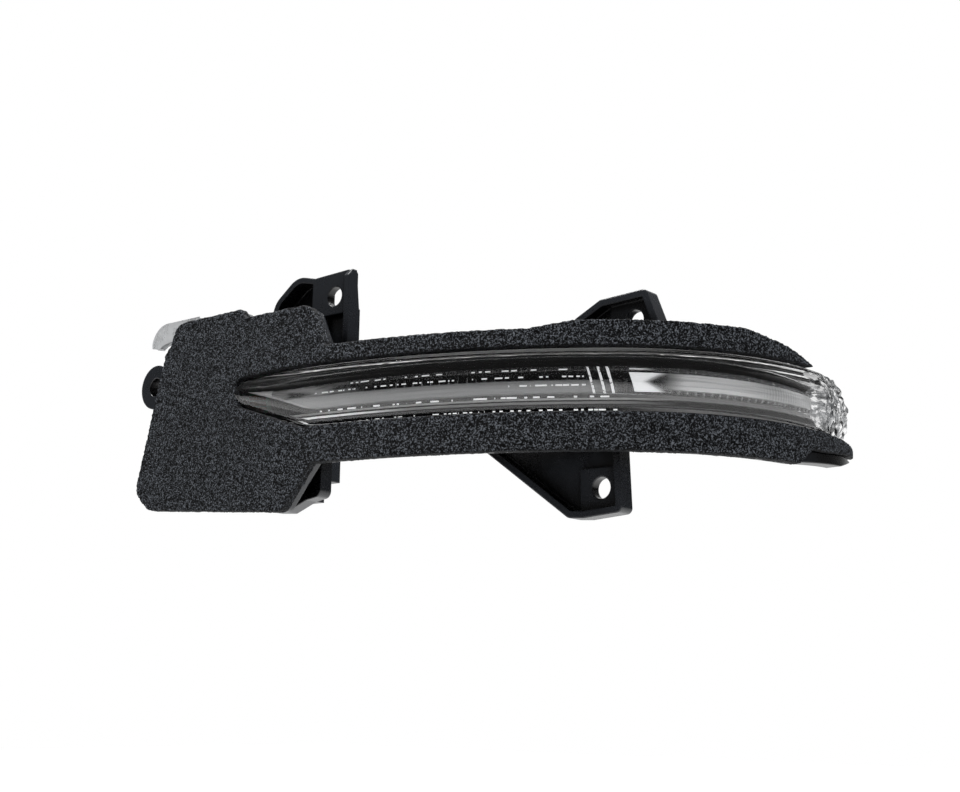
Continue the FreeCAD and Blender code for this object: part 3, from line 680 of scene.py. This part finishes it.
# Painted glow: the dashes and the shining step emit light, though the trim is no lamp.
bezel_black.feed(Emission_Color=bezel_black.mix(spark, BLACK, (0.5, 0.51, 0.52)), Emission_Strength=1.0)
bezel_black.on(bezel)
join(bezel, "bezel_black", "inner_bezel")

# %% [markdown]
# ## Light guide
# The guide is a clear bar. Its lower half is etched, so it looks like grey frosted glass, and its upper
# half is clear and shows the dark groove behind. Small prisms get painted highlights as rows of dashes,
# three slanted columns of them stand where the bar starts to turn, and beyond those a bright patch, also a
# painted highlight, runs out into a milky band. The blade's edge is a painted highlight too. The finish
# mixes a clear and a frosted shader by a mask over distance and height. The prisms and the milky band get a
# painted glow, emission in a part that is no lamp, because a real guide gathers more light than the render
# can follow.

# %% Guide piece
BLADE_START = -10.7
BLADE_LOW = -7.7
BLADE_SLOPE = 0.36
BLADE_EASE = 0.5
BLADE_FORWARD = 2.4
FORWARD_END = 4.0
GUIDE_CROWN = 0.8
GUIDE_ACROSS = 17
TEETH_START = 14.0
TOOTH = 2.6
TOOTH_DEPTH = 0.7


def guide_loops():
    """Bar with a crowned front and a back of small teeth; its bottom edge rises to the blade's point.

    Towards that point the front leans forward, until the blade lies just behind the lens. The back's V is
    moved far down, so that the finish can tell it from the front.
    """
    first_tooth = TEETH_START + 0.2
    smooth_run = np.linspace(BLADE_START, TEETH_START, 64)
    run = np.concatenate([smooth_run, np.arange(first_tooth, CAVITY_END - 0.6, TOOTH / 4)])
    line = BLADE_LOW - (run - BLADE_START) * BLADE_SLOPE
    low = BLADE_EASE * np.logaddexp(line / BLADE_EASE, (GUIDE_Z - GUIDE_HEIGHT / 2) / BLADE_EASE)
    high = np.full_like(run, GUIDE_Z + GUIDE_HEIGHT / 2)
    across = np.linspace(0, 1, GUIDE_ACROSS)
    z = low[:, None] + (high - low)[:, None] * across
    forward = BLADE_FORWARD * np.clip((FORWARD_END - run) / (FORWARD_END - BLADE_START), 0, 1) ** 1.5
    front = -GUIDE_SETBACK + forward[:, None] - GUIDE_CROWN * (2 * across - 1) ** 2
    zigzag = np.abs(((run - first_tooth) / TOOTH) % 1 - 0.5) * 2
    teeth = np.where(run > TEETH_START, TOOTH_DEPTH * zigzag, 0)
    back = -GUIDE_SETBACK - GUIDE_THICK + teeth[:, None] * np.ones(GUIDE_ACROSS)
    out = np.concatenate([front, back], 1)
    along, height = np.broadcast_arrays(run[:, None], np.concatenate([z, z[:, ::-1]], 1))
    mark = height - BACK_MARK * (np.arange(2 * GUIDE_ACROSS) >= GUIDE_ACROSS)
    return carry(along, out, height), np.stack([along, mark], -1)


guide_points, guide_uv = guide_loops()
guide = tube_mesh("milky_guide", guide_points, guide_uv)

# %% Guide masks
GUIDE_ROWS = ((-8.2, 24, 86, 2.0), (-10.4, 12, 90, 1.9), (-12.8, 70, 90, 1.2))
COLUMNS = ((88.6, 0.28), (91.3, 0.32), (93.6, 0.36))
COLUMN_SLANT = 0.24
PATCH_SLANT = 0.3
PATCH_LEFT = 98.4
NOTCH_HEIGHT = -11.8
NOTCH_SLOPE = 1.6
NOTCH_TIP = 106.5
FINE_TOOTH = 1.15
guide_clear = Finish("guide_clear", (0.95, 0.96, 0.97), 0.04, **CLEAR)
rise = guide_clear.rise
fall = guide_clear.fall
along, height = guide_clear.run()
front = height > -BACK_MARK / 2
etched = fall(height, -11.8, -11.2) * fall(along, 90.0, 101.0)
blade = along < -3.0
edge = height - BLADE_LOW + (along - BLADE_START) * BLADE_SLOPE < 0.8
edge = edge * fall(along, 4.0, 14.0)
milky = rise(along, 107.0, 118.0) * rise(height, -14.2, -13.6) * fall(height, -9.4, -8.8)
fine_teeth = (guide_clear.wave(along, FINE_TOOTH) > 0.0) * rise(along, 138.0, 148.0)
glow = milky * (1 - rise(along, 120.0, 160.0) * 0.55) * (1 - fine_teeth * 0.4)
# Painted highlights: slanted columns, a bright patch, a bright line and rows of dashes make up the bright
# mask.
columns = sum((along + height * COLUMN_SLANT).near(level, reach) for level, reach in COLUMNS)
columns = columns * (guide_clear.noise(1.0, 1.0, vector=guide_clear.pair(along * 0.9, height * 1.5)) > 0.38)
notch = (height - NOTCH_HEIGHT).math("ABSOLUTE") * NOTCH_SLOPE + NOTCH_TIP
bright_patch = (along + height * PATCH_SLANT > PATCH_LEFT) * fall(along - notch, -2.5, 2.0)
bright_patch = bright_patch * height.between(-14.5, -9.2)
bright_line = (along > 101.3) * fall(along, 104.0, 110.0) * height.between(-8.3, -7.8) * 0.8
rows = dashes(guide_clear, along, height, GUIDE_ROWS)
bright = (columns + bright_patch + bright_line + rows).capped() * front
haze = guide_clear.noise(1.0, 2.0, vector=guide_clear.pair(along * 0.09, height * 0.5)) * 3.0 - 0.8
haze = haze.math("MAXIMUM", 0.15).capped() * fall(along, 10.0, 36.0) * 0.9
veil = rise(along, 106.0, 122.0) * (height > -8.8) * 0.4 + haze
frost = (etched + blade + milky + edge + veil + bright).capped() * front
print("guide masks ready")

# %% Guide finish
cloud = guide_clear.noise(1.0, 3.0, vector=guide_clear.pair(along * 0.04, height * 1.4))
tint = guide_clear.mix(cloud, (0.3, 0.305, 0.31), (0.62, 0.63, 0.64))
# The milky band is tinted towards white along the mask of its painted glow. The painted highlights and the
# blade's edge, a painted highlight, are tinted white, and the blade and the inboard end lighter.
tint = guide_clear.mix(glow * (cloud * 1.4 + 0.2), tint, WHITE)
tint = guide_clear.mix((bright + edge + blade + fall(along, 4.0, 40.0) * 0.5).capped(), tint, WHITE)
# Painted glow: emission on the painted highlights and the milky band, though the guide is no lamp.
painted_glow_colour = guide_clear.mix((bright + glow * cloud * 0.6).capped(), BLACK, (0.45, 0.46, 0.47))
matte = {"Base Color": tint, "Roughness": 0.35, "IOR": 1.49}
matte.update({"Emission Color": painted_glow_colour, "Emission Strength": 1.0})
guide_clear.blend(frost, guide_clear.node("ShaderNodeBsdfPrincipled", {}, matte))
guide_clear.on(guide)
join(guide, "guide_clear", "light_guide")

# %% [markdown]
# ## Board and small parts
# Most of these lie hidden inside the box behind the pad, but the pins show in the socket. They all get true
# finishes: solder mask with a slight mottling, amber resin, epoxy, ceramic, brass and steel. Each row below
# has a name, a colour, how metallic it is, the noise's scale, the roughness's spread and least, and pieces.

# %% Small finishes
board_green = Finish("board_green", (0.02, 0.12, 0.05), 0.35)
mottle = board_green.noise(400.0, 3.0)
board_green.feed(Base_Color=board_green.mix(mottle, (0.015, 0.095, 0.04), (0.025, 0.14, 0.06)))
board_green.on(nodes["led_board"])
SMALL_FINISHES = (
    ("led_amber", (0.06, 0.032, 0.008), 0.0, 900.0, 0.2, 0.15, ("amber_leds",)),
    ("chip_black", (0.03, 0.03, 0.03), 0.0, 2000.0, 0.3, 0.45, ("driver_chip", "protection_diode")),
    ("resistor_grey", (0.06, 0.06, 0.07), 0.0, 1500.0, 0.3, 0.35, ("resistors",)),
    ("capacitor_tan", (0.45, 0.33, 0.2), 0.0, 1500.0, 0.3, 0.35, ("capacitors",)),
    ("pin_brass", (0.75, 0.62, 0.35), 1.0, 1200.0, 0.2, 0.15, ("terminal_pins",)),
    ("screw_steel", (0.55, 0.55, 0.56), 1.0, 1200.0, 0.2, 0.2, ("board_screws",)),
)
for name, colour, metallic, scale, spread, least, names in SMALL_FINISHES:
    small = Finish(name, colour, least, Metallic=metallic)
    small.feed(Roughness=small.noise(scale) * spread + least)
    small.on(*(nodes[each] for each in names))
print("small parts finished")

# %% [markdown]
# ## Studio
# The photograph is a cut-out on pure white, seen slightly from below and from the outboard side. The camera
# sees a white world. Glossy surfaces and clear plastic see that white behind the lamp, and elsewhere a dark
# room with a dim ceiling, which keeps the black black. Matte surfaces are lit by an even grey. Three soft
# lamps shape the plastic. The floor lies below, because the lamp is held by its screws and stands on
# nothing. It is pale to the camera, and at half strength in reflections and clear plastic.

# %% Light and floor
ROOM_DARK = 0.02
ROOM_ABOVE = 0.14
ROOM_LIGHT = 0.4
BACKDROP_WAY = (-0.61, 0.74, 0.28)
scene = bpy.context.scene
scene.view_settings.view_transform = "Standard"
scene.world = bpy.data.worlds.new("studio")
scene.world.use_nodes = True
sky = Graph(scene.world.node_tree)
through = sky.ray("Is Transmission Ray")
mirrored = sky.ray("Is Glossy Ray").math("MAXIMUM", through)
way = sky.node("ShaderNodeTexCoord", output="Generated")
facing = sky.node("ShaderNodeVectorMath", {"operation": "DOT_PRODUCT"}, {0: way, 1: BACKDROP_WAY}, "Value")
backdrop = sky.ramp(facing, 0.7 - through * 0.45, 0.95 - through * 0.1)
above = sky.ramp(sky.part(way, "Z"), 0.0, 0.6)
ceiling = ROOM_DARK + above * (1 - through) * (ROOM_ABOVE - ROOM_DARK)
shown = sky.ray("Is Camera Ray").math("MAXIMUM", mirrored * backdrop.math("MAXIMUM", ceiling))
lighting = sky.ray("Diffuse Depth") > 0.5
level = shown * (1 - lighting) + lighting * ROOM_LIGHT
sky.set(sky.tree.nodes["Background"], {"Color": (1, 1, 1, 1), "Strength": level})


def soft_lamp(name, place, target, size, power):
    """Square area lamp at a place, turned to face a target."""
    data = bpy.data.lights.new(name, "AREA")
    data.size = size
    data.energy = power
    lamp = bpy.data.objects.new(name, data)
    lamp.location = place
    aim = np.array(target) - np.array(place)
    yaw = np.arctan2(aim[0], -aim[1])
    tilt = np.arctan2(np.hypot(aim[0], aim[1]), -aim[2])
    lamp.rotation_euler = (tilt, 0, yaw + np.pi)
    scene.collection.objects.link(lamp)
    return lamp


centre = (0.09, 0.03, -0.015)
key = soft_lamp("key", (-0.2, -0.2, 0.85), centre, 0.35, 10.0)
side = soft_lamp("side", (0.5, -0.15, 0.75), centre, 0.4, 6.0)
top = soft_lamp("top", (0.1, 0.3, 0.75), centre, 0.5, 5.0)
side.visible_glossy = False
for lamp in (key, side, top):
    lamp.visible_transmission = False
FLOOR_Z = -0.26
FLOOR_REACH = 4.0
FLOOR_IN_GLASS = 0.5
corners = np.array([[-1, -1, 0], [1, -1, 0], [1, 1, 0], [-1, 1, 0]]) * FLOOR_REACH + [0, 0, FLOOR_Z]
floor = poly_mesh("floor", corners, [[0, 1, 2, 3]])
floor_pale = Finish("floor_pale", (0.6, 0.6, 0.6), 0.9, **{"Emission Strength": 1.0})
watched = floor_pale.ray("Is Camera Ray")
for kind in ("Is Glossy Ray", "Is Transmission Ray"):
    watched = watched.math("MAXIMUM", floor_pale.ray(kind) * FLOOR_IN_GLASS)
watched = watched * (floor_pale.ray("Diffuse Depth") < 0.5)
floor_pale.feed(Emission_Color=floor_pale.mix(watched, BLACK, (0.8, 0.8, 0.8)))
floor_pale.on(floor)
print("studio lit")

# %% Camera
CAMERA_PLACE = np.array([0.345357, -0.268013, -0.090614])
CAMERA_AZIMUTH = np.radians(39.453)
CAMERA_ELEVATION = np.radians(-11.829)
CAMERA_ROLL = np.radians(0.758)
camera_data = bpy.data.cameras.new("camera")
camera_data.lens = 55.0
camera_data.sensor_width = 36.0
camera_data.clip_start = 0.01
camera = bpy.data.objects.new("camera", camera_data)
scene.collection.objects.link(camera)
level_out = np.cos(CAMERA_ELEVATION)
right = np.array([np.cos(CAMERA_AZIMUTH), np.sin(CAMERA_AZIMUTH), 0])
ahead = level_out * np.array([-right[1], right[0], 0]) - [0, 0, np.sin(CAMERA_ELEVATION)]
upward = np.cross(right, ahead)
tilted = np.cos(CAMERA_ROLL) * right + np.sin(CAMERA_ROLL) * upward
upright = np.cross(tilted, ahead)
pose = np.eye(4)
pose[:3, 0], pose[:3, 1], pose[:3, 2], pose[:3, 3] = tilted, upright, -ahead, CAMERA_PLACE
camera.matrix_world = Matrix(pose.tolist())
scene.camera = camera
print("camera at", CAMERA_PLACE.tolist())
